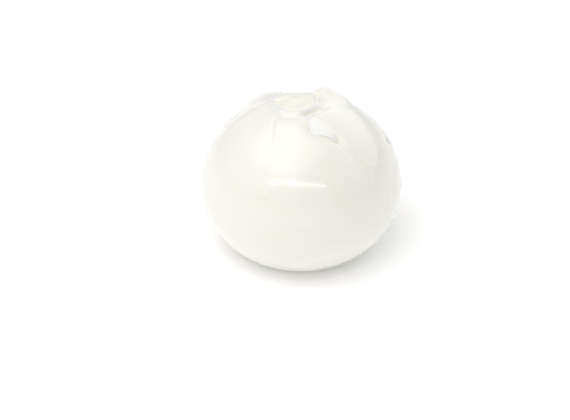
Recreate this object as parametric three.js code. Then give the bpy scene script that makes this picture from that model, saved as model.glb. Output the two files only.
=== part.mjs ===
// Burrata: a soft mozzarella pouch resting on its own weight, gathered at the top around a
// small open mouth in which the cream filling shows. Millimetres, +Z up, front towards -Y.
import * as THREE from 'three';

// Body of the pouch
const equatorRadius = 40;
const equatorHeight = 26.4;
const domeHeight = 37.8;
const bowlDepth = 33;
const footSoftness = 4;

// Mouth at the top, where the pouch is gathered
const mouthX = -2.4;
const mouthY = 1.2;
const mouthRadius = 8.05;
const mouthCornerReach = 1.1;
const lipThickness = 1.3;
const lipHeight = 0.3;

// Wall of the pouch and the filling inside it
const wallThickness = 6;
const floorThickness = 5;
const fillingGap = 0.3;
const dishDepth = 0.6;
const cornerPitDepth = 0.5;

// Pleat in front of the mouth: a slanted web of skin, its ridge swinging out to the right
const DEGREE = Math.PI / 180;
const ridgeHeading = 42 * DEGREE;
const ridgeSwing = 22 * DEGREE;
const ridgeSwingReach = 11.5;
const pleatFootHeading = 17 * DEGREE;
const ridgeHeight = 0.8;
const pocketDepth = 0.85;
const hemSoftness = 0.45;
const hemMiddle = 22.3;

// Fineness of the surfaces
const headingCount = 96;
const crownRingCount = 20;
const flankRingCount = 11;
const footRingCount = 8;
const innerRingCount = 8;
const dishRingCount = 6;

const smoothstep = (from, to, value) => {
  const t = Math.min(Math.max((value - from) / (to - from), 0), 1);
  return t * t * (3 - 2 * t);
};
const mix = (a, b, t) => a + (b - a) * t;
const bell = (distance, width) => Math.exp(-((distance / width) ** 2));
const softMax = (a, b, softness) => {
  const overlap = Math.max(softness - Math.abs(a - b), 0) / softness;
  return Math.max(a, b) + overlap * overlap * softness * 0.25;
};

// Nearest place on a line of [x, y] points: its distance, and how far along it lies from 0 to 1
function nearestOnLine(line, x, y) {
  const lengths = line.slice(1).map((end, i) => Math.hypot(end[0] - line[i][0], end[1] - line[i][1]));
  const whole = lengths.reduce((sum, length) => sum + length, 0);
  let best = { distance: Infinity, along: 0 };
  let passed = 0;
  lengths.forEach((length, i) => {
    const [ax, ay] = line[i];
    const ux = (line[i + 1][0] - ax) / length;
    const uy = (line[i + 1][1] - ay) / length;
    const reach = Math.min(Math.max((x - ax) * ux + (y - ay) * uy, 0), length);
    const distance = Math.hypot(x - ax - reach * ux, y - ay - reach * uy);
    if (distance < best.distance) {
      best = { distance, along: (passed + reach) / whole };
    }
    passed += length;
  });
  return best;
}

// Lines of the gathered top, seen from above, each from the mouth outwards
const longValley = [[13.9, -18.9], [17.8, -21.3], [21.0, -23.4], [25.0, -24.2]];
const frontCrease = [[-9.5, -8.5], [-10.9, -14.7], [-11.6, -20.5], [-11.7, -24.0]];
const notch = [[2.6, -7.8], [5.2, -6.8], [7.4, -5.0], [9.8, -2.9]];
const shoulderCrease = [[5.6, 11.5], [7.0, 5.2], [8.8, 0.6], [12.0, -0.4]];
const peakRidge = [[6.9, 11.2], [12.5, 9.8], [20.0, 7.0]];
const leftRidge = [[-13.0, 2.2], [-21.4, -1.0], [-27.0, -2.4], [-33.0, -4.0]];
const backCreaseLeft = [[-4.5, 12.0], [-6.5, 20.0], [-8.5, 28.0]];
const backCreaseRight = [[4.0, 12.5], [5.5, 21.0], [8.0, 29.0]];

// Distance out from the mouth's edge, and the heading around the mouth
function fromMouth(x, y) {
  const dx = x - mouthX;
  const dy = y - mouthY;
  const heading = Math.atan2(dx, -dy);
  return { heading, beyond: Math.hypot(dx, dy) - mouthEdge(heading) };
}

// The mouth is nearly round, a little flatter in front, with a pointed corner on the left
function mouthEdge(heading) {
  const turn = Math.abs(Math.atan2(Math.sin(heading + 99 * DEGREE), Math.cos(heading + 99 * DEGREE)));
  const corner = mouthCornerReach * Math.exp(-turn / (14 * DEGREE));
  const besideCorner = -0.25 * bell(turn - 40 * DEGREE, 22 * DEGREE);
  return mouthRadius + 0.25 * Math.cos(2 * heading) - 0.25 * Math.sin(heading) + corner + besideCorner;
}

// How far the pleat's ridge still has to swing to its final heading, at a reach from the middle
const swingAt = (reach) => ridgeSwing * Math.exp(-((Math.max(reach - 8.2, 0) / ridgeSwingReach) ** 1.5));

// How much a column follows that swing
const nearRidge = (column) => bell(column - ridgeHeading, 50 * DEGREE);

// The hem arches over the pocket, from the foot, 0 across, down to the ridge, 1 across
const hemReachAt = (across) => 21.3 + 3.6 * across ** 3 - 1.1 * Math.sin(Math.PI * across) * (1 - across);

// The web climbs from the pleat's foot to its ridge, drops beyond it, and ends below in a hem
// that arches over a small pocket
function pleat(heading, reach) {
  const ridge = ridgeHeading - swingAt(reach);
  const pastRidge = (heading - ridge) * reach;
  const pastFoot = (heading - pleatFootHeading) * reach;
  const spread = Math.max((heading - pleatFootHeading) / Math.max(ridge - pleatFootHeading, 0.02), 0);
  const across = Math.min(spread, 1);
  const hemReach = hemReachAt(across);
  const lipReach = 21.7 + 3.9 * across + 0.3 * Math.sin(Math.PI * across);
  const belowHem = smoothstep(-hemSoftness, hemSoftness, reach - hemReach);
  const web = smoothstep(-0.5, 0.5, pastFoot) * smoothstep(0.2, -0.2, pastRidge) * (1 - belowHem);
  const grown = smoothstep(8.5, 15, reach);
  const webHeight = mix(-0.55, ridgeHeight, across) * mix(0.35, 1, grown);
  const besideFoot = -0.6 * bell(pastFoot, 2) * smoothstep(23, 18, reach) * smoothstep(0.6, 0.4, pastFoot);
  const beyondRidge = smoothstep(-0.2, 0, pastRidge) * Math.exp(-Math.max(pastRidge, 0) / 1.6);
  const behindRidge = -0.6 * beyondRidge * smoothstep(27, 22, reach);
  const inPocket = smoothstep(0, 0.15, spread) * (1 - smoothstep(0.85, 1, spread)) * belowHem;
  const pocket = -pocketDepth * inPocket * smoothstep(lipReach + 1.2, hemReach + 0.2, reach);
  return grown * (besideFoot + behindRidge) + web * (webHeight - grown * besideFoot) + pocket;
}

// How far the skin stands out from the smooth body at a place seen from above
function relief(x, y, z, columnHeading, reach) {
  const dome = smoothstep(equatorHeight - 2, equatorHeight + 14, z);
  if (dome === 0) return 0;
  const { heading, beyond } = fromMouth(x, y);
  const inFront = smoothstep(75 * DEGREE, 25 * DEGREE, Math.abs(heading + 20 * DEGREE));
  const line = (points, height, width, fade) => {
    const { distance, along } = nearestOnLine(points, x, y);
    return height * bell(distance, width) * (1 - fade * along ** 1.5);
  };
  const patch = (cx, cy, rx, ry, height) => height * bell(Math.hypot((x - cx) / rx, (y - cy) / ry), 1);

  const awayFromLip = smoothstep(0.2, 2.4, beyond);
  const lip = lipHeight * bell(beyond - 0.9, 1.0) - mix(0.25, 0.8, inFront) * bell(beyond - 3.3, 1.6);
  const valleys = line(frontCrease, -0.6, 1.3, 1)
    + line(longValley, -0.9, 1.7, 0.9)
    + line(notch, -1.5, 1.9, 0.5)
    + line(shoulderCrease, -1.0, 1.8, 0.6)
    + line(backCreaseLeft, -0.6, 2.4, 0.9)
    + line(backCreaseRight, -1.0, 2.4, 0.9);
  const ridges = line(peakRidge, 2.9, 3.2, 0.95) + line(leftRidge, 0.55, 3.4, 0.6);
  const lobes = patch(17, -9, 12, 11, 0.9)
    + patch(0, -17, 7, 8, 0.55)
    + patch(-17, -9, 9, 9, 0.5)
    + patch(-18, 8, 8, 7, -0.7)
    + patch(-28, 14, 8, 8, -0.6)
    + patch(-14, 21, 5, 6, 0.45)
    + patch(1, 21, 9.5, 11, -2.2)
    + patch(21, 18, 8.5, 8, -1.1);
  const nearHeading = Math.atan2(Math.sin(columnHeading), Math.cos(columnHeading));
  const folds = mix(0.45, 1, awayFromLip) * valleys + awayFromLip * pleat(nearHeading, reach);
  return dome * (lip + folds + ridges + lobes);
}

// A place on the smooth body for a column and an angle down from the top. Near the top the
// rings are centred on the mouth, and from the shoulders down on the body's own axis. The
// columns near the pleat swing with its ridge.
function smoothBody(column, polar) {
  const toMouth = 1 - smoothstep(0, 65 * DEGREE, polar);
  const reach = equatorRadius * Math.sin(polar);
  const heading = polar < Math.PI / 2 ? column - swingAt(reach) * nearRidge(column) : column;
  const x = reach * Math.sin(heading) + mouthX * toMouth;
  const y = -reach * Math.cos(heading) + mouthY * toMouth;
  const upper = polar < Math.PI / 2;
  const semiHeight = upper ? domeHeight : bowlDepth;
  const level = toMouth > 0
    ? Math.sqrt(Math.max(1 - (x * x + y * y) / equatorRadius ** 2, 0))
    : Math.cos(polar);
  const place = new THREE.Vector3(x, y, equatorHeight + semiHeight * level);
  const normal = new THREE.Vector3(x, y, (level * equatorRadius ** 2) / semiHeight).normalize();
  return { place, normal, heading, reach };
}

// The skin at a column and polar angle, sunk below its outer face by a depth. Deep inside the
// wall the folds of the skin fade, and the foot is flattened by the body's own weight.
function skin(column, polar, depth, floor) {
  const { place, normal, heading, reach } = smoothBody(column, polar);
  const keptRelief = mix(1, 0.35, smoothstep(1.5, wallThickness, depth));
  const out = relief(place.x, place.y, place.z, heading, reach) * keptRelief - depth;
  const point = place.clone().addScaledVector(normal, out);
  point.z = softMax(point.z, floor, footSoftness);
  return point;
}

const mouthPolar = (column, beyond) => {
  const heading = column - ridgeSwing * nearRidge(column);
  return Math.asin((mouthEdge(heading) + beyond) / equatorRadius);
};

// The filled pouch's wall: thin at the lip, full a finger's width away from it
const wallDepth = (beyond) => mix(lipThickness, wallThickness, smoothstep(-1, 13, beyond));

// Columns all round, two of them close on either side of the pleat's ridge and the others
// further apart towards the back
const columns = Array.from({ length: headingCount }, (_, i) => {
  const turn = (i + 0.5 - headingCount / 2) / (headingCount / 2);
  const spread = 0.42 * Math.abs(turn) + 0.58 * turn * turn;
  return ridgeHeading + Math.sign(turn) * spread * Math.PI;
});

// One closed body from a bottom point, rings of points and a top point
function closedBody(name, first, rings, last, material) {
  const corners = [first, ...rings.flat(), last];
  const place = (ring, i) => 1 + ring * headingCount + (i % headingCount);
  const end = corners.length - 1;
  const faces = [];
  for (let i = 0; i < headingCount; i += 1) {
    faces.push(0, place(0, i + 1), place(0, i));
    for (let ring = 0; ring < rings.length - 1; ring += 1) {
      const [a, b] = [place(ring, i), place(ring, i + 1)];
      const [c, d] = [place(ring + 1, i + 1), place(ring + 1, i)];
      const evenSplit = corners[a].distanceTo(corners[c]) < corners[b].distanceTo(corners[d]);
      if (evenSplit) faces.push(a, b, c, a, c, d);
      else faces.push(a, b, d, b, c, d);
    }
    faces.push(place(rings.length - 1, i), place(rings.length - 1, i + 1), end);
  }
  const geometry = new THREE.BufferGeometry();
  const positions = corners.flatMap((corner) => corner.toArray());
  geometry.setAttribute('position', new THREE.Float32BufferAttribute(positions, 3));
  geometry.setIndex(faces);
  geometry.computeVertexNormals();
  const mesh = new THREE.Mesh(geometry, material);
  mesh.name = name;
  return mesh;
}

// Near the hem the rings bend to run along it
function alongHem(column, polar) {
  const reach = equatorRadius * Math.sin(polar);
  const heading = column - swingAt(hemMiddle) * nearRidge(column);
  const ridge = ridgeHeading - swingAt(hemMiddle);
  const spread = (heading - pleatFootHeading) / (ridge - pleatFootHeading);
  const inside = smoothstep(-0.6, 0, spread) * smoothstep(2, 1, spread);
  const hem = hemReachAt(Math.min(Math.max(spread, 0), 1));
  const bend = (hem - hemMiddle) * inside * bell(reach - hemMiddle, 3.4);
  return Math.asin((reach + bend) / equatorRadius);
}

// Rings of the outer skin, from the sole up to the lip, closest together on the crown and foot
function outerRings() {
  const evenly = (from, to, count) => Array.from({ length: count }, (_, i) => mix(from, to, i / count));
  const below = [
    168,
    ...evenly(158, 126, footRingCount),
    ...evenly(126, 47, flankRingCount),
  ].map((angle) => angle * DEGREE);
  const flank = below.map((polar) => columns.map((column) => skin(column, polar, 0, 0)));
  const crown = evenly(0, 1, crownRingCount).map((up) => columns.map((column) => {
    const top = mouthPolar(column, 0.6);
    const rise = up * (1.15 - 0.15 * up);
    return skin(column, alongHem(column, mix(47 * DEGREE, top, rise)), 0, 0);
  }));
  return [...flank, ...crown];
}

// Rings of the lip and of the wall's inner face, or of the filling against it when sunk by a
// gap, listed from the mouth down to the bottom of the hollow
function innerRings(gap, floor) {
  return Array.from({ length: innerRingCount }, (_, i) => {
    const down = (i / innerRingCount) ** 1.6;
    return columns.map((column) => {
      const top = mouthPolar(column, 0.1 - gap);
      const polar = top + (Math.PI - top) * down;
      const beyond = equatorRadius * (polar - top);
      return skin(column, polar, wallDepth(beyond) + gap, floor);
    });
  });
}

// One ring of the lip, so far beyond the mouth's edge and so deep below the skin
function lipRing(beyond, depth) {
  return columns.map((column) => skin(column, mouthPolar(column, beyond), depth, 0));
}

const pouchMaterial = new THREE.MeshStandardMaterial({ color: 0xf3f1e6, roughness: 0.32 });
const creamMaterial = new THREE.MeshStandardMaterial({ color: 0xf6efcf, roughness: 0.28 });

const pouch = closedBody(
  'pouch',
  new THREE.Vector3(0, 0, 0),
  [
    ...outerRings(),
    lipRing(0.6, 0),
    lipRing(0.12, 0.14),
    lipRing(0, 0.55),
    ...innerRings(0, floorThickness),
  ],
  new THREE.Vector3(0, 0, floorThickness),
  pouchMaterial,
);

// The cream stands just below the lip, in a shallow dish that is deepest in the mouth's corner
function dishRings() {
  return Array.from({ length: dishRingCount }, (_, i) => {
    const inwards = i / dishRingCount;
    return columns.map((column) => {
      const edge = skin(column, mouthPolar(column, -fillingGap), lipThickness + 0.15, 0);
      const x = mix(edge.x, mouthX, inwards);
      const y = mix(edge.y, mouthY, inwards);
      const pit = cornerPitDepth * bell(Math.hypot(x + 8.5, y - 1.5), 3.2) * smoothstep(0, 0.25, inwards);
      const level = mix(edge.z, creamLevel, smoothstep(0, 0.85, inwards));
      return new THREE.Vector3(x, y, level - pit);
    });
  });
}

const creamLevel = equatorHeight + domeHeight - lipThickness - dishDepth;
const fillingFloor = floorThickness + fillingGap;
const fillingSide = innerRings(fillingGap, fillingFloor).reverse();
const filling = closedBody(
  'cream_filling',
  new THREE.Vector3(0, 0, fillingFloor),
  [...fillingSide, ...dishRings()],
  new THREE.Vector3(mouthX, mouthY, creamLevel),
  creamMaterial,
);

const group = new THREE.Group();
group.name = 'burrata';
group.add(pouch, filling);

export default group;
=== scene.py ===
"""A burrata on a plain pale floor, in soft studio light, seen from the front and above.

The pouch and its cream filling are modelled here again, finely, in the same frame as the
CAD part: millimetres in the shape functions, metres in the meshes, +Z up, front towards -Y.
"""
import math

import bpy
import numpy as np
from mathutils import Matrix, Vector


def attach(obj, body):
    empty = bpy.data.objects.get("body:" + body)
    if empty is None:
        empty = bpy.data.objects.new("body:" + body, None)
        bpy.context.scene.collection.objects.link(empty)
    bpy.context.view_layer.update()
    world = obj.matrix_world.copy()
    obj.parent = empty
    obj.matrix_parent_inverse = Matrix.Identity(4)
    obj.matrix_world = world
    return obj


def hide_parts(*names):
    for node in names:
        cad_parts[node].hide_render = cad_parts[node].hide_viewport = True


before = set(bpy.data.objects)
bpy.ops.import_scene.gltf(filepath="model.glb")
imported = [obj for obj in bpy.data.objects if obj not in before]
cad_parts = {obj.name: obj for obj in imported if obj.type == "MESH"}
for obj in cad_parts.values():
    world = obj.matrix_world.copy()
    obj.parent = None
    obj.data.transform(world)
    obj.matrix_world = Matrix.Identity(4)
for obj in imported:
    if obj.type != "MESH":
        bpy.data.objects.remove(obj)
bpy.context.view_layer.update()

MM = 0.001
DEG = math.pi / 180

# Body of the pouch
EQUATOR_RADIUS = 40.0
EQUATOR_HEIGHT = 26.4
DOME_HEIGHT = 37.8
BOWL_DEPTH = 33.0
FOOT_SOFTNESS = 4.0

# Mouth at the top, with a pointed corner at its left. A heading is an angle seen from
# above, 0 towards the front and 90 degrees towards the right
MOUTH = (-2.4, 1.2)
MOUTH_RADIUS = 8.05
MOUTH_DROP = 0.5
SHIFT_END = 65 * DEG
CORNER_HEADING = -99 * DEG
CORNER_SPREAD = 14 * DEG
CORNER_REACH = 1.1
LIP_THICKNESS = 1.3
LIP_HEIGHT = 0.3
LIP_TOP_REACH = 0.6

# Rounded edge of the lip: how far beyond the mouth's edge, and how far below the outer face
LIP_PROFILE = [
    (LIP_TOP_REACH, 0.0),
    (0.4, 0.02),
    (0.22, 0.08),
    (0.09, 0.2),
    (0.03, 0.36),
    (0.02, 0.55),
    (0.05, 0.9),
]

# Wall and filling. A reach is a distance outwards, from the mouth's edge or the upright axis
WALL = 6.0
FLOOR = 5.0
GAP = 0.02
INNER_FACE_REACH = 0.1
CREAM_EDGE_REACH = 0.02
CREAM_EDGE_DEPTH = 0.28
DISH_DEPTH = 0.5
CORNER_PIT = 0.5
CORNER_PIT_PLACE = (-8.5, 1.5)
CORNER_PIT_WIDTH = 3.2

# Pleat in front of the mouth
RIDGE_HEADING = 42 * DEG
RIDGE_SWING = 22 * DEG
SWING_START = 8.2
SWING_REACH = 11.5
SWING_SPREAD = 50 * DEG
PLEAT_FOOT = 17 * DEG
RIDGE_HEIGHT = 0.6
GROOVE_DEPTH = 0.25
POCKET_DEPTH = 0.55
HEM_SOFTNESS = 0.3
HEM_MIDDLE = 22.3

# Mesh: columns crowd together near the ridge, and rings on the crown
COLUMNS = 720
CROWDING = 0.28
CROWN_RINGS = 170
FLANK_RINGS = 150
FOOT_RINGS = 60
UNDER_RINGS = 6
INNER_RINGS = 40
DISH_RINGS = 90

# Light colours, and the place in metres that every light is aimed at
WHITE = (1, 1, 1)
ROSY = (1, 0.98, 1)
ROSIER = (1, 0.94, 1)
LIGHT_AIM = (0, 0, 0.03)

# Camera, in metres
CAMERA_ELEVATION = 32.5 * DEG
CAMERA_DISTANCE = 0.945
AIM_RIGHT = -0.00637
AIM_DROP = 0.0107


def smoothstep(start, end, value):
    t = np.clip((value - start) / (end - start), 0, 1)
    return t * t * (3 - 2 * t)


def mix(a, b, t):
    return a + (b - a) * t


def bell(distance, width):
    return np.exp(-((distance / width) ** 2))


def soft_max(a, b, softness):
    overlap = np.maximum(softness - np.abs(a - b), 0) / softness
    return np.maximum(a, b) + overlap**2 * softness * 0.25


def nearest_on_line(line, x, y):
    """Distance to a line of (x, y) points, and how far along it the nearest place lies."""
    line = np.array(line, float)
    lengths = np.hypot(*(line[1:] - line[:-1]).T)
    best = np.full(x.shape, np.inf)
    along = np.zeros(x.shape)
    passed = 0.0
    for (ax, ay), (bx, by), length in zip(line[:-1], line[1:], lengths):
        ux, uy = (bx - ax) / length, (by - ay) / length
        reach = np.clip((x - ax) * ux + (y - ay) * uy, 0, length)
        distance = np.hypot(x - ax - reach * ux, y - ay - reach * uy)
        nearer = distance < best
        best = np.where(nearer, distance, best)
        along = np.where(nearer, (passed + reach) / lengths.sum(), along)
        passed += length
    return best, along


def nearest_in_space(line, place):
    """Distance to a line of (x, y, z) points."""
    line = np.array(line, float)
    best = np.full(place.shape[:-1], np.inf)
    for start, end in zip(line[:-1], line[1:]):
        way = end - start
        reach = np.clip(((place - start) @ way) / (way @ way), 0, 1)
        best = np.minimum(best, np.linalg.norm(place - start - reach[..., None] * way, axis=-1))
    return best


# Lines of the gathered top, seen from above, each from the mouth outwards
LONG_VALLEY = [(13.9, -18.9), (17.8, -21.3), (21.0, -23.4), (25.0, -24.2)]
FRONT_CREASE = [(-9.5, -8.5), (-10.9, -14.7), (-11.6, -20.5), (-11.7, -24.0)]
NOTCH = [(2.6, -7.8), (5.2, -6.8), (7.4, -5.0), (9.8, -2.9)]
SHOULDER_CREASE = [(5.6, 11.5), (7.0, 5.2), (8.8, 0.6), (12.0, -0.4)]
PEAK_RIDGE = [(6.9, 11.2), (12.5, 9.8), (20.0, 7.0)]
LEFT_RIDGE = [(-13.0, 2.2), (-21.4, -1.0), (-27.0, -2.4), (-33.0, -4.0)]
BACK_CREASE_LEFT = [(-4.5, 12.0), (-6.5, 20.0), (-8.5, 28.0)]
BACK_CREASE_RIGHT = [(4.0, 12.5), (5.5, 21.0), (8.0, 29.0)]

# Each line's height where it starts, half width, and how much it has faded where it ends
VALLEYS = [
    (FRONT_CREASE, -0.34, 0.8, 1.0),
    (LONG_VALLEY, -0.9, 1.7, 0.9),
    (NOTCH, -1.25, 1.9, 0.5),
    (SHOULDER_CREASE, -1.0, 1.8, 0.6),
    (BACK_CREASE_LEFT, -0.6, 2.4, 0.9),
    (BACK_CREASE_RIGHT, -1.0, 2.4, 0.9),
]
RIDGES = [
    (PEAK_RIDGE, 2.9, 3.2, 0.95),
    (LEFT_RIDGE, 0.55, 3.4, 0.6),
]
# Painted shade along the notch, in the same columns as the lines above
NOTCH_PAINTED_SHADE = (NOTCH, 0.9, 1.5, 0.6)

# Soft lobes and flatter faces: middle x and y, half widths along x and y, height
LOBES = [
    (17, -9, 12, 11, 0.9),
    (0, -17, 7, 8, 0.55),
    (-17, -9, 9, 9, 0.5),
    (-18, 8, 8, 7, -0.7),
    (-28, 14, 8, 8, -0.6),
    (-14, 21, 5, 6, 0.45),
    (1, 21, 9.5, 11, -2.2),
    (21, 18, 8.5, 8, -1.1),
]

# Small marks in the skin: height, half width, how much painted shade darkens and yellows the skin in
# their dips, points on the body
SMALL_MARKS = {
    "web_ripple": (-0.2, 0.45, 0.2, [(3.2, -16.8, 60.6), (4.6, -16.1, 61.1), (6.0, -16.0, 61.2)]),
    "upper_curved_crease": (-0.24, 0.9, 0.15, [
        (20.8, -21.3, 51.6),
        (24.1, -22.4, 48.0),
        (26.2, -22.9, 45.1),
        (26.7, -24.1, 43.0),
    ]),
    "lower_curved_crease": (-0.2, 0.8, 0.2, [
        (26.7, -24.1, 43.0),
        (25.9, -26.4, 41.6),
        (23.8, -28.3, 40.9),
        (22.2, -30.4, 39.3),
    ]),
    "raised_line": (0.22, 0.6, 0.0, [
        (23.4, -20.9, 50.1),
        (25.8, -20.5, 48.1),
        (27.8, -19.9, 46.3),
        (28.6, -18.7, 46.4),
    ]),
    "raised_line_end": (0.2, 0.65, 0.0, [
        (28.6, -18.7, 46.4),
        (29.3, -15.4, 48.6),
        (29.1, -11.9, 50.2),
    ]),
    "right_dimple": (-0.8, 2.1, 0.5, [(33.9, -0.5, 46.3), (34.2, 0.6, 46.2)]),
    "left_spot": (-0.2, 0.8, 1.0, [(-17.6, -32.9, 39.9), (-15.8, -33.7, 40.2), (-14.0, -34.5, 40.3)]),
    "low_wrinkle_left": (0.16, 0.45, 0.0, [(0.3, -37.7, 15.4), (4.4, -38.6, 18.7), (8.9, -38.5, 21.2)]),
    "low_wrinkle_right": (0.16, 0.45, 0.0, [
        (4.8, -39.0, 20.1),
        (10.3, -38.3, 21.8),
        (16.1, -36.1, 21.5),
    ]),
    "low_crease": (-0.14, 0.5, 0.2, [(6.6, -37.6, 16.5), (10.6, -37.1, 17.6), (13.9, -36.2, 18.1)]),
    "lower_ripple": (-0.1, 0.7, 0.1, [(-9.0, -37.9, 29.0), (-3.0, -39.4, 29.6), (5.0, -39.3, 29.0)]),
    "upper_ripple": (-0.1, 0.7, 0.1, [(-2.0, -39.0, 32.4), (6.0, -38.6, 32.0), (13.0, -36.8, 32.6)]),
}


def mouth_edge(heading):
    """The mouth's radius at a heading from its middle."""
    turn = heading - CORNER_HEADING
    turn = np.abs(np.arctan2(np.sin(turn), np.cos(turn)))
    corner = CORNER_REACH * np.exp(-turn / CORNER_SPREAD)
    beside = -0.25 * bell(turn - 40 * DEG, 22 * DEG)
    return MOUTH_RADIUS + 0.25 * np.cos(2 * heading) - 0.25 * np.sin(heading) + corner + beside


def from_mouth(x, y):
    """The heading of a place from the mouth's middle, and how far it is beyond the edge."""
    dx, dy = x - MOUTH[0], y - MOUTH[1]
    heading = np.arctan2(dx, -dy)
    return heading, np.hypot(dx, dy) - mouth_edge(heading)


def swing_at(reach):
    """The ridge swings away from its heading as it nears the mouth."""
    return RIDGE_SWING * np.exp(-((np.maximum(reach - SWING_START, 0) / SWING_REACH) ** 1.5))


def near_ridge(column):
    return bell(column - RIDGE_HEADING, SWING_SPREAD)


def hem_reach_at(across):
    """How far out the web's arched hem lies, from the pleat's foot (0) to its ridge (1)."""
    return 21.3 + 3.6 * across**3 - 1.1 * np.sin(math.pi * across) * (1 - across)


def pleat(heading, reach):
    """The web of skin between the pleat's foot and its ridge, and the pocket under its hem.
    Returns its relief and how much of a place is web, and how much is pocket."""
    ridge = RIDGE_HEADING - swing_at(reach)
    foot = PLEAT_FOOT + 2.8 * DEG * smoothstep(14.5, 10, reach)
    past_ridge = (heading - ridge) * reach
    past_foot = (heading - foot) * reach
    spread = np.maximum((heading - foot) / np.maximum(ridge - foot, 0.02), 0)
    across = np.minimum(spread, 1)
    grown = smoothstep(8.5, 15, reach)

    hem = hem_reach_at(across)
    below_hem = smoothstep(-HEM_SOFTNESS, HEM_SOFTNESS, reach - hem)
    web = smoothstep(-0.35, 0.35, past_foot) * smoothstep(0.2, -0.2, past_ridge) * (1 - below_hem)
    web_height = mix(-0.55, RIDGE_HEIGHT, across) * mix(0.35, 1, grown)

    pocket_end = 21.7 + 3.9 * across + 0.3 * np.sin(math.pi * across)
    in_pocket = smoothstep(0, 0.15, spread) * (1 - smoothstep(0.65, 1, spread)) * below_hem
    pocket = in_pocket * smoothstep(pocket_end + 0.9, hem + 0.2, reach)

    before_web = smoothstep(0.6, 0.4, past_foot)
    beside_foot = -0.6 * bell(past_foot, 2) * smoothstep(23, 18, reach) * before_web
    beyond_ridge = smoothstep(-0.2, 0, past_ridge) * np.exp(-np.maximum(past_ridge, 0) / 1.6)
    behind_ridge = -0.6 * beyond_ridge * smoothstep(27, 22, reach)
    groove = -GROOVE_DEPTH * bell(past_ridge - 0.3, 0.3) * smoothstep(27, 24, reach)

    rise = grown * (beside_foot + behind_ridge) + groove + web * (web_height - grown * beside_foot)
    return rise - POCKET_DEPTH * pocket, web, pocket


def relief(x, y, z, column_heading, reach):
    """How far the skin stands out from the smooth body, with the marks its material reads: the fine lip
    and web, partly painted shade, and painted shade in the notch and the pocket.
    """
    dome = smoothstep(EQUATOR_HEIGHT - 2, EQUATOR_HEIGHT + 14, z)
    heading, beyond = from_mouth(x, y)
    in_front = smoothstep(75 * DEG, 25 * DEG, np.abs(heading + 20 * DEG))

    def line(points, height, width, fade):
        distance, along = nearest_on_line(points, x, y)
        return height * bell(distance, width) * (1 - fade * along**1.5)

    def lobe(cx, cy, rx, ry, height):
        return height * bell(np.hypot((x - cx) / rx, (y - cy) / ry), 1)

    away = smoothstep(0.2, 2.4, beyond)
    lip = LIP_HEIGHT * bell(beyond - 0.9, 1.0)
    valley_under_lip = -mix(0.25, 0.8, in_front) * bell(beyond - 3.3, 1.6)
    valleys = sum(line(*valley) for valley in VALLEYS)
    ridges = sum(line(*ridge) for ridge in RIDGES)
    lobes = sum(lobe(*place) for place in LOBES)
    near_heading = np.arctan2(np.sin(column_heading), np.cos(column_heading))
    rise, web, pocket = pleat(near_heading, reach)
    folds = mix(0.45, 1, away) * valleys + away * rise
    # Cooler, darker white on the lip and the web: partly the fine skin's own tint, partly painted shade
    thin_skin_and_shade = dome * np.maximum(bell(np.maximum(beyond - 0.6, 0), 1.3), web * away)
    # Painted shade, darker and yellower, along the notch and in the pocket under the web's hem
    hollow_shade = dome * np.clip(line(*NOTCH_PAINTED_SHADE) * away + 0.7 * pocket, 0, 1)
    return dome * (lip + valley_under_lip + folds + ridges + lobes), thin_skin_and_shade, hollow_shade


def smooth_body(column, polar):
    """A place on the smooth body for a column and an angle down from the top."""
    to_mouth = 1 - smoothstep(0, SHIFT_END, polar)
    reach = EQUATOR_RADIUS * np.sin(polar)
    upper = polar < math.pi / 2
    heading = np.where(upper, column - swing_at(reach) * near_ridge(column), column)
    x = reach * np.sin(heading) + MOUTH[0] * to_mouth
    y = -reach * np.cos(heading) + MOUTH[1] * to_mouth
    semi = np.where(upper, DOME_HEIGHT, BOWL_DEPTH)
    flat = np.sqrt(np.maximum(1 - (x * x + y * y) / EQUATOR_RADIUS**2, 0))
    level = np.where(to_mouth > 0, flat, np.cos(polar))
    place = np.stack([x, y, EQUATOR_HEIGHT + semi * level], axis=-1)
    normal = np.stack([x, y, level * EQUATOR_RADIUS**2 / semi], axis=-1)
    normal /= np.linalg.norm(normal, axis=-1, keepdims=True)
    return place, normal, heading, reach


def skin(column, polar, depth=0.0, floor=0.0):
    """The skin, sunk below its outer face by a depth, and the two marks its material reads, which carry
    painted shade.
    """
    column, polar, depth = np.broadcast_arrays(column, polar, depth)
    place, normal, heading, reach = smooth_body(column, polar)
    out, thin_skin_and_shade, hollow_shade = relief(place[..., 0], place[..., 1], place[..., 2], heading, reach)
    outer_face = (depth < 1.5) * 1.0
    for height, width, yellow, line in SMALL_MARKS.values():
        near = bell(nearest_in_space(line, place), width) * outer_face
        out = out + height * near
        # Painted shade, darker and yellower, in the dips of the small marks
        hollow_shade = np.maximum(hollow_shade, yellow * near)
    out = out * mix(1, 0.35, smoothstep(1.5, WALL, depth)) - depth
    point = place + normal * out[..., None]
    point[..., 2] = soft_max(point[..., 2], floor, FOOT_SOFTNESS)
    return point, thin_skin_and_shade, hollow_shade


def mouth_polar(column, beyond):
    """The angle down from the top that lies this far beyond the mouth's edge."""
    heading = column - RIDGE_SWING * near_ridge(column)
    return np.arcsin((mouth_edge(heading) + beyond) / EQUATOR_RADIUS)


def wall_depth(beyond):
    """The wall's thickness, which grows from the lip."""
    return mix(LIP_THICKNESS, WALL, smoothstep(-1, 13, beyond))


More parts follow.
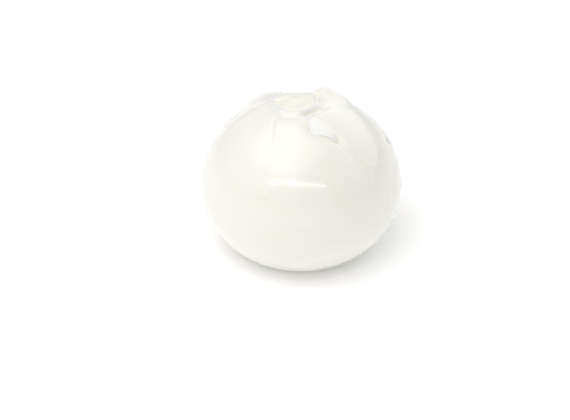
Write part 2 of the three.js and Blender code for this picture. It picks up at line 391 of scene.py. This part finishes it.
def along_hem(column, polar):
    """Near the hem the rings bend to run along it."""
    reach = EQUATOR_RADIUS * np.sin(polar)
    heading = column - swing_at(HEM_MIDDLE) * near_ridge(column)
    ridge = RIDGE_HEADING - swing_at(HEM_MIDDLE)
    spread = (heading - PLEAT_FOOT) / (ridge - PLEAT_FOOT)
    inside = smoothstep(-0.6, 0, spread) * smoothstep(2, 1, spread)
    hem = hem_reach_at(np.clip(spread, 0, 1))
    bend = (hem - HEM_MIDDLE) * inside * bell(reach - HEM_MIDDLE, 3.4)
    return np.arcsin((reach + bend) / EQUATOR_RADIUS)


def column_headings():
    turn = (np.arange(COLUMNS) + 0.5 - COLUMNS / 2) / (COLUMNS / 2)
    crowded = (1 - CROWDING) * np.abs(turn) + CROWDING * turn**2
    return RIDGE_HEADING + np.sign(turn) * crowded * math.pi


columns = column_headings()


def rings_between(start, end, count):
    return np.linspace(start, end, count, endpoint=False)[:, None]


def outer_rings():
    """The outer skin, from underneath up to the lip."""
    under, foot, flank, crown = 176 * DEG, 158 * DEG, 126 * DEG, 47 * DEG
    below = np.concatenate([
        rings_between(under, foot, UNDER_RINGS),
        rings_between(foot, flank, FOOT_RINGS),
        rings_between(flank, crown, FLANK_RINGS),
    ])
    up = rings_between(0, 1, CROWN_RINGS)
    top = mouth_polar(columns, LIP_TOP_REACH)[None]
    above = along_hem(columns[None], mix(crown, top, up * (1.1 - 0.1 * up)))
    polar = np.concatenate([np.broadcast_to(below, (len(below), COLUMNS)), above])
    return skin(columns[None], polar)


def lip_rings():
    """The rounded edge of the lip, from the outer skin over to the wall's inner face."""
    parts = [skin(columns, mouth_polar(columns, beyond), depth) for beyond, depth in LIP_PROFILE]
    return [np.stack(found) for found in zip(*parts)]


def inner_rings(gap, floor):
    """The wall's inner face, or the filling's side a gap away from it, from the top down."""
    down = (np.arange(INNER_RINGS) / INNER_RINGS)[:, None] ** 1.6
    top = mouth_polar(columns, INNER_FACE_REACH - gap)[None]
    polar = top + (math.pi - top) * down
    beyond = EQUATOR_RADIUS * (polar - top)
    return skin(columns[None], polar, wall_depth(beyond) + gap, floor)


def closed_body(name, first, rings, last, marks):
    """One closed mesh, from a first point through rings of points to a last point."""
    count, n = rings.shape[0], rings.shape[1]
    corners = np.concatenate([[first], rings.reshape(-1, 3), [last]]) * MM
    ring, i = np.meshgrid(np.arange(count - 1), np.arange(n), indexing="ij")
    following = (i + 1) % n
    quads = np.stack([
        1 + ring * n + i,
        1 + ring * n + following,
        1 + (ring + 1) * n + following,
        1 + (ring + 1) * n + i,
    ], axis=-1).reshape(-1, 4)
    i = np.arange(n)
    base = 1 + (count - 1) * n
    start = np.stack([np.zeros(n, int), 1 + (i + 1) % n, 1 + i], axis=-1)
    end = np.stack([base + i, base + (i + 1) % n, np.full(n, len(corners) - 1)], axis=-1)
    loops = np.concatenate([start.ravel(), quads.ravel(), end.ravel()])
    sizes = np.concatenate([np.full(n, 3), np.full(len(quads), 4), np.full(n, 3)])
    mesh = bpy.data.meshes.new(name)
    mesh.vertices.add(len(corners))
    mesh.vertices.foreach_set("co", corners.ravel())
    mesh.loops.add(len(loops))
    mesh.loops.foreach_set("vertex_index", loops)
    mesh.polygons.add(len(sizes))
    mesh.polygons.foreach_set("loop_start", np.concatenate([[0], np.cumsum(sizes)[:-1]]))
    mesh.polygons.foreach_set("use_smooth", np.ones(len(sizes), bool))
    mesh.update(calc_edges=True)
    for label, values in marks.items():
        data = mesh.attributes.new(label, "FLOAT", "POINT").data
        data.foreach_set("value", np.concatenate([[0], values.ravel(), [0]]).astype(np.float32))
    piece = bpy.data.objects.new(name, mesh)
    bpy.context.scene.collection.objects.link(piece)
    return piece


def pouch_piece():
    parts = [outer_rings(), lip_rings(), inner_rings(0, FLOOR)]
    points, thin_skin_and_shade, hollow_shade = (np.concatenate(found) for found in zip(*parts))
    marks = {"thin_skin_and_shade": thin_skin_and_shade, "hollow_shade": hollow_shade}
    return closed_body("burrata_pouch", (0, 0, 0), points, (0, 0, FLOOR), marks)


def filling_piece():
    side = inner_rings(GAP, FLOOR + GAP)[0][::-1]
    level = EQUATOR_HEIGHT + DOME_HEIGHT - MOUTH_DROP - DISH_DEPTH
    edge = skin(columns, mouth_polar(columns, CREAM_EDGE_REACH), CREAM_EDGE_DEPTH)[0]
    inwards = np.concatenate([[[0], [0.003]], rings_between(0.008, 1, DISH_RINGS)])
    x = mix(edge[:, 0], MOUTH[0], inwards)
    y = mix(edge[:, 1], MOUTH[1], inwards)
    z = mix(edge[:, 2], level, smoothstep(0, 0.85, inwards))
    from_pit = np.hypot(x - CORNER_PIT_PLACE[0], y - CORNER_PIT_PLACE[1])
    pit = CORNER_PIT * bell(from_pit, CORNER_PIT_WIDTH) * smoothstep(0, 0.25, inwards)
    top = np.stack([x, y, z - pit], axis=-1)
    points = np.concatenate([side, top])
    # The corner pit also marks painted shade, darker and yellower, for the cream's material
    marks = {"pit_shade": np.concatenate([np.zeros(side.shape[:2]), pit])}
    return closed_body("burrata_cream", (0, 0, FLOOR + GAP), points, (*MOUTH, level), marks)


# --- materials -------------------------------------------------------------------------


def new_material(name):
    material = bpy.data.materials.new(name)
    material.use_nodes = True
    tree = material.node_tree
    tree.nodes.clear()
    output = tree.nodes.new("ShaderNodeOutputMaterial")
    shader = tree.nodes.new("ShaderNodeBsdfPrincipled")
    tree.links.new(shader.outputs[0], output.inputs["Surface"])
    return material, tree, shader


def noise(tree, scale, detail=3, rough=0.5, stretch=(1, 1, 1)):
    """A noise pattern in the piece's own coordinates; scale is features per metre."""
    coords = tree.nodes.new("ShaderNodeTexCoord")
    mapping = tree.nodes.new("ShaderNodeMapping")
    mapping.inputs["Scale"].default_value = stretch
    tree.links.new(coords.outputs["Object"], mapping.inputs["Vector"])
    texture = tree.nodes.new("ShaderNodeTexNoise")
    texture.inputs["Scale"].default_value = scale
    texture.inputs["Detail"].default_value = detail
    texture.inputs["Roughness"].default_value = rough
    tree.links.new(mapping.outputs[0], texture.inputs["Vector"])
    return texture.outputs["Fac"]


def spread_out(tree, value, low, high):
    """A pattern stretched so that low to high becomes 0 to 1."""
    node = tree.nodes.new("ShaderNodeMapRange")
    node.inputs["From Min"].default_value = low
    node.inputs["From Max"].default_value = high
    tree.links.new(value, node.inputs["Value"])
    return node.outputs["Result"]


def around(tree, value, middle, swing):
    """A 0 to 1 pattern turned into a value that swings about a middle."""
    node = tree.nodes.new("ShaderNodeMath")
    node.operation = "MULTIPLY_ADD"
    node.inputs[1].default_value = swing
    node.inputs[2].default_value = middle - swing / 2
    tree.links.new(value, node.inputs[0])
    return node.outputs[0]


def blend(tree, factor, first, second):
    """A mix of two colours, each an (r, g, b) or a socket."""
    node = tree.nodes.new("ShaderNodeMix")
    node.data_type = "RGBA"
    for socket, colour in ((6, first), (7, second)):
        if isinstance(colour, tuple):
            node.inputs[socket].default_value = (*colour, 1)
        else:
            tree.links.new(colour, node.inputs[socket])
    tree.links.new(factor, node.inputs[0])
    return node.outputs[2]


def mark(tree, name):
    """A mark that the mesh carries at its points."""
    node = tree.nodes.new("ShaderNodeAttribute")
    node.attribute_name = name
    return node.outputs["Fac"]


def milky(shader):
    """Light enters a little below the surface."""
    shader.inputs["IOR"].default_value = 1.4
    shader.inputs["Subsurface Weight"].default_value = 1.0
    shader.inputs["Subsurface Radius"].default_value = (1.0, 0.97, 0.9)
    shader.inputs["Subsurface Scale"].default_value = 0.0004


def wet(shader, roughness):
    """A fine film of whey over the surface."""
    shader.inputs["Coat Weight"].default_value = 1.0
    shader.inputs["Coat Roughness"].default_value = roughness
    shader.inputs["Coat IOR"].default_value = 1.5
    shader.inputs["Specular IOR Level"].default_value = 0.2


def bumps(tree, socket, layers):
    """Layers of (height pattern, depth in metres) under one normal."""
    normal = None
    for height, distance in layers:
        node = tree.nodes.new("ShaderNodeBump")
        node.inputs["Distance"].default_value = distance
        node.inputs["Strength"].default_value = 1.0
        tree.links.new(height, node.inputs["Height"])
        if normal:
            tree.links.new(normal, node.inputs["Normal"])
        normal = node.outputs[0]
    tree.links.new(normal, socket)


def skin_material():
    """Warm white skin, cooler and a little darker on the lip and web, partly the fine skin's own tint
    and partly painted shade, and with painted shade, darker and yellower, in the notch, the pocket and
    the creases.
    """
    material, tree, shader = new_material("mozzarella_skin")
    cloud = spread_out(tree, noise(tree, 45, 3), 0.35, 0.65)
    colour = blend(tree, cloud, (0.868, 0.860, 0.792), (0.885, 0.878, 0.818))
    # Painted shade: a darker, yellower skin in the notch, the pocket and the creases
    hollow_shade_mix = around(tree, mark(tree, "hollow_shade"), 0.25, 0.5)
    colour = blend(tree, hollow_shade_mix, colour, (0.85, 0.83, 0.73))
    # Cooler, darker white on the lip and web: partly the fine skin's own tint, partly painted shade
    thin_skin_and_shade = around(tree, mark(tree, "thin_skin_and_shade"), 0.4, 0.8)
    colour = blend(tree, thin_skin_and_shade, colour, (0.82, 0.828, 0.814))
    tree.links.new(colour, shader.inputs["Base Color"])
    rough = around(tree, noise(tree, 220, 4), 0.45, 0.2)
    tree.links.new(rough, shader.inputs["Roughness"])
    milky(shader)
    wet(shader, 0.05)
    bumps(tree, shader.inputs["Normal"], [
        (noise(tree, 110, 3, stretch=(1, 1, 1.8)), 0.00009),
        (noise(tree, 600, 3, stretch=(1, 1, 1.6)), 0.00004),
    ])
    bumps(tree, shader.inputs["Coat Normal"], [
        (noise(tree, 120, 1), 0.000012),
        (noise(tree, 900, 2), 0.00006),
    ])
    return material


def cream_material():
    """Warm cream, with painted shade, darker and yellower, in the corner pit of the dish."""
    material, tree, shader = new_material("cream")
    cloud = spread_out(tree, noise(tree, 600, 4, 0.6), 0.35, 0.65)
    colour = blend(tree, cloud, (0.942, 0.903, 0.796), (0.954, 0.918, 0.818))
    # Painted shade: darker, yellower cream in the corner pit
    pit_shade = around(tree, mark(tree, "pit_shade"), 0.3, 0.6)
    colour = blend(tree, pit_shade, colour, (0.93, 0.88, 0.72))
    tree.links.new(colour, shader.inputs["Base Color"])
    rough = around(tree, noise(tree, 500, 3), 0.45, 0.14)
    tree.links.new(rough, shader.inputs["Roughness"])
    milky(shader)
    wet(shader, 0.12)
    bumps(tree, shader.inputs["Normal"], [
        (noise(tree, 380, 3), 0.00008),
        (noise(tree, 1500, 2), 0.00001),
    ])
    return material


def dress(piece, material, node):
    """Give a piece its material and slot, hang it under the root, and hide the CAD node that it stands
    in for.
    """
    piece.data.materials.append(material)
    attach(piece, "root")
    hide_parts(node)


dress(pouch_piece(), skin_material(), "pouch")
dress(filling_piece(), cream_material(), "cream_filling")


# --- studio ----------------------------------------------------------------------------


def floor_plane():
    """A pale paper floor, which also glows a little so that it stays white."""
    mesh = bpy.data.meshes.new("floor")
    half = 3.0
    corners = [(-half, -half, 0), (half, -half, 0), (half, half, 0), (-half, half, 0)]
    mesh.from_pydata(corners, [], [(0, 1, 2, 3)])
    floor = bpy.data.objects.new("floor", mesh)
    bpy.context.scene.collection.objects.link(floor)
    material, tree, shader = new_material("floor_paper")
    grain = spread_out(tree, noise(tree, 300, 2), 0.3, 0.7)
    colour = blend(tree, grain, (0.93, 0.93, 0.925), (0.94, 0.94, 0.935))
    tree.links.new(colour, shader.inputs["Base Color"])
    shader.inputs["Roughness"].default_value = 0.9
    shader.inputs["Specular IOR Level"].default_value = 0.0
    shader.inputs["Emission Color"].default_value = (1, 1, 1, 1)
    shader.inputs["Emission Strength"].default_value = 0.13
    mesh.materials.append(material)


def soft_box(name, azimuth, elevation, distance, size, radiance, colour=WHITE, spread=180):
    """A rectangular light aimed at the object, from an azimuth that is 0 in front and 90 at
    the right. Its size is width and height. Less spread gives its reflection a softer edge."""
    width, height = size
    lamp = bpy.data.lights.new(name, "AREA")
    lamp.shape = "RECTANGLE"
    lamp.size = width
    lamp.size_y = height
    lamp.energy = radiance * math.pi * width * height
    lamp.color = colour
    lamp.spread = spread * DEG
    holder = bpy.data.objects.new(name, lamp)
    a, e = azimuth * DEG, elevation * DEG
    way = Vector((math.sin(a) * math.cos(e), -math.cos(a) * math.cos(e), math.sin(e)))
    holder.location = Vector(LIGHT_AIM) + way * distance
    holder.rotation_euler = (-way).to_track_quat("-Z", "Y").to_euler()
    bpy.context.scene.collection.objects.link(holder)


def sky(strength):
    world = bpy.data.worlds.new("studio")
    world.use_nodes = True
    back = world.node_tree.nodes["Background"]
    back.inputs["Color"].default_value = (1, 1, 1, 1)
    back.inputs["Strength"].default_value = strength
    bpy.context.scene.world = world


def front_camera():
    """A long lens, from the front and above."""
    data = bpy.data.cameras.new("camera")
    data.lens = 150
    data.sensor_width = 36
    data.clip_start = 0.01
    data.clip_end = 50
    camera = bpy.data.objects.new("camera", data)
    way = Vector((0, -math.cos(CAMERA_ELEVATION), math.sin(CAMERA_ELEVATION)))
    up = Vector((0, math.sin(CAMERA_ELEVATION), math.cos(CAMERA_ELEVATION)))
    aim = Vector((AIM_RIGHT, 0, EQUATOR_HEIGHT * MM)) - up * AIM_DROP
    camera.location = aim + way * CAMERA_DISTANCE
    camera.rotation_euler = (-way).to_track_quat("-Z", "Y").to_euler()
    bpy.context.scene.collection.objects.link(camera)
    bpy.context.scene.camera = camera


floor_plane()
sky(0.455)
soft_box("left_box", -75, 14, 1.0, (1.0, 0.5), 0.05, ROSY)
soft_box("top_box", -50, 73, 1.1, (1.3, 1.3), 0.585, ROSY, spread=100)
soft_box("front_box", -64, 46, 1.0, (1.4, 1.1), 0.15, ROSIER, spread=120)
soft_box("back_box", 140, 30, 1.2, (1.6, 0.8), 0.8)
soft_box("strip", -7, 36.2, 1.0, (1.25, 0.008), 36.0)
front_camera()
bpy.context.scene.view_settings.view_transform = "Standard"
